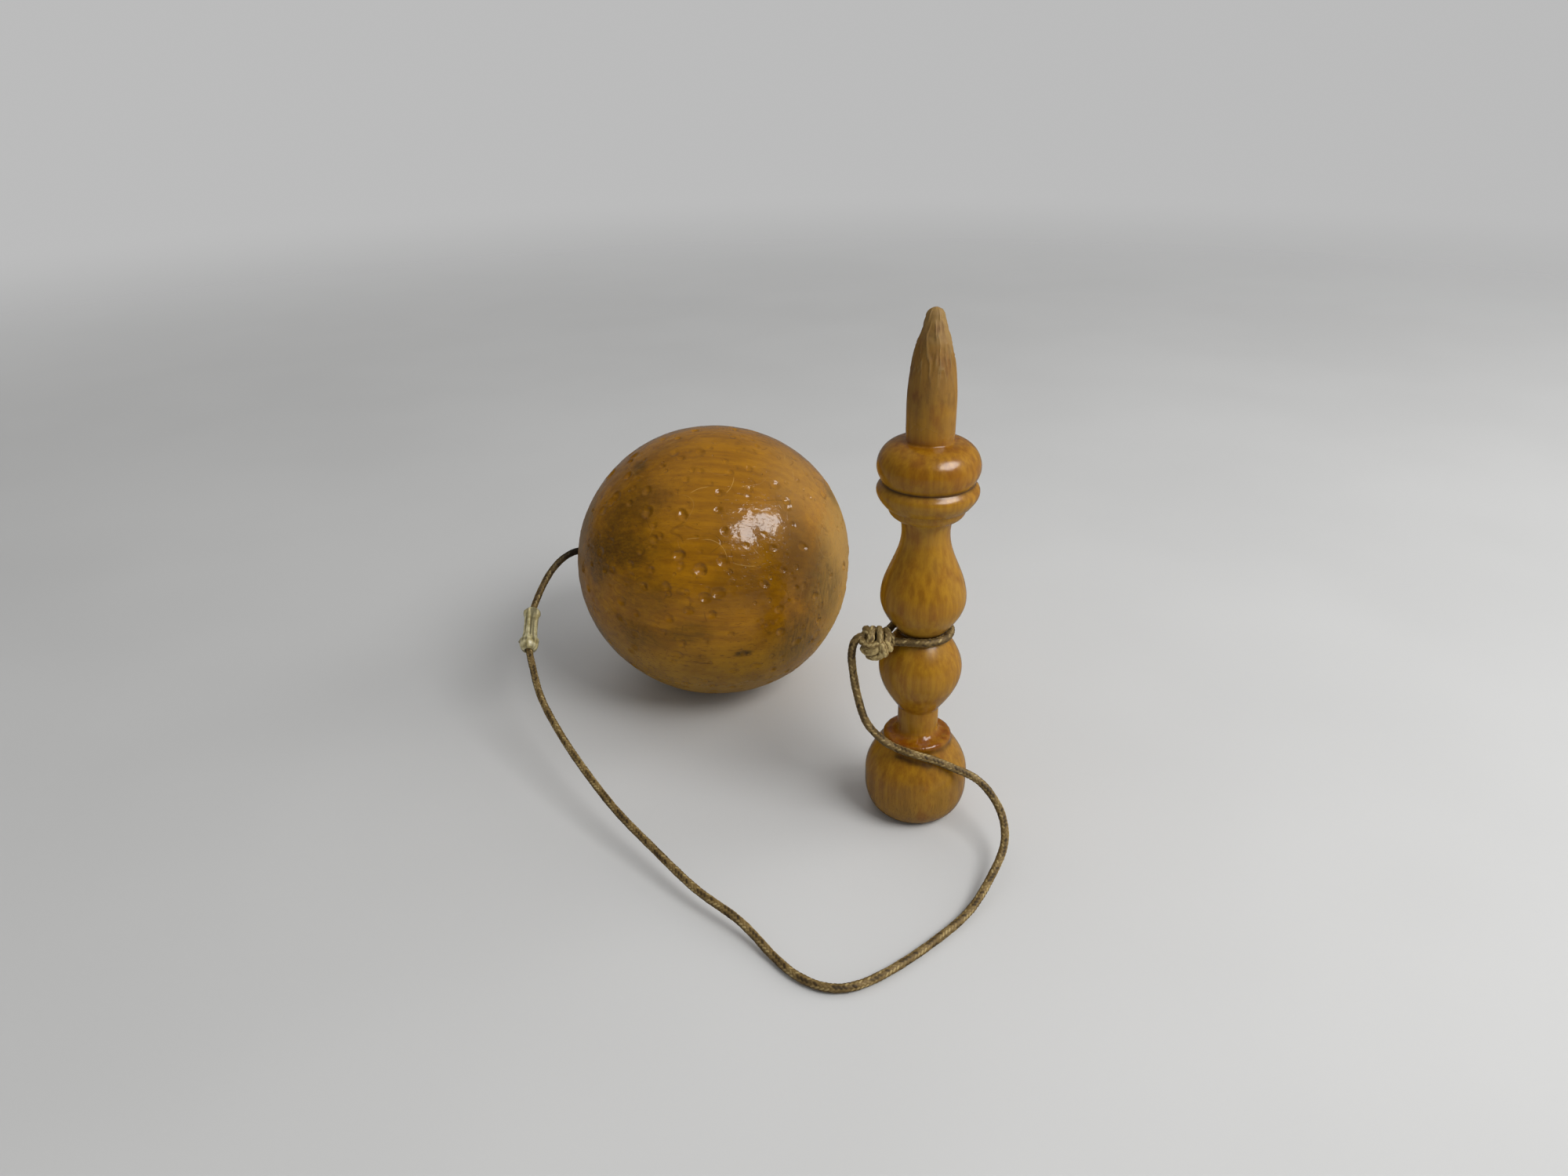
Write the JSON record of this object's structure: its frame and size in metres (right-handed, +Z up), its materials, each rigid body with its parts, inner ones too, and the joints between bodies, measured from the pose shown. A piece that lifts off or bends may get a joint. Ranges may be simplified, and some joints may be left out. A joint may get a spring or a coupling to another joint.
{
  "type": "cup and ball toy",
  "caption": "Turned wooden handle with a blunt spike above a ringed head, and a bored wooden ball tied to the handle's neck by a braided cord.",
  "frame": {"origin": "centre of the handle's foot, on the surface that it stands on", "axes": "+Z up along the handle's axis to the spike; +X to the right and +Y away, as seen from the front with the knot to the left"},
  "size_m": [0.1643, 0.2183, 0.1645],
  "materials": {
    "handle_wood": "honey varnish, worn to bare wood on the spike",
    "ball_wood": "amber varnish, dented and scratched, soiled in patches",
    "cord": "waxed braid, slightly soiled",
    "tape": "clear tape gone yellow, crumpled"
  },
  "bodies": {
    "handle": {"handle": "handle_wood"},
    "tether": {"neck_loop": "cord", "neck_knot": "cord", "long_cord": "cord", "splice_wrap": "tape", "ball_lead": "cord", "stopper_knot": "cord"},
    "ball": {"ball": "ball_wood"}
  },
  "joints": [
    {"name": "loop_swivel", "type": "hinge", "parent": "handle", "child": "tether", "pos_m": [0, 0, 0.0659], "axis": [0, 0, 1], "continuous": true},
    {"name": "ball_spin", "type": "hinge", "parent": "tether", "child": "ball", "pos_m": [-0.0682, 0.0846, 0.0508], "axis": [0.9954, 0, -0.0958], "continuous": true}
  ]
}
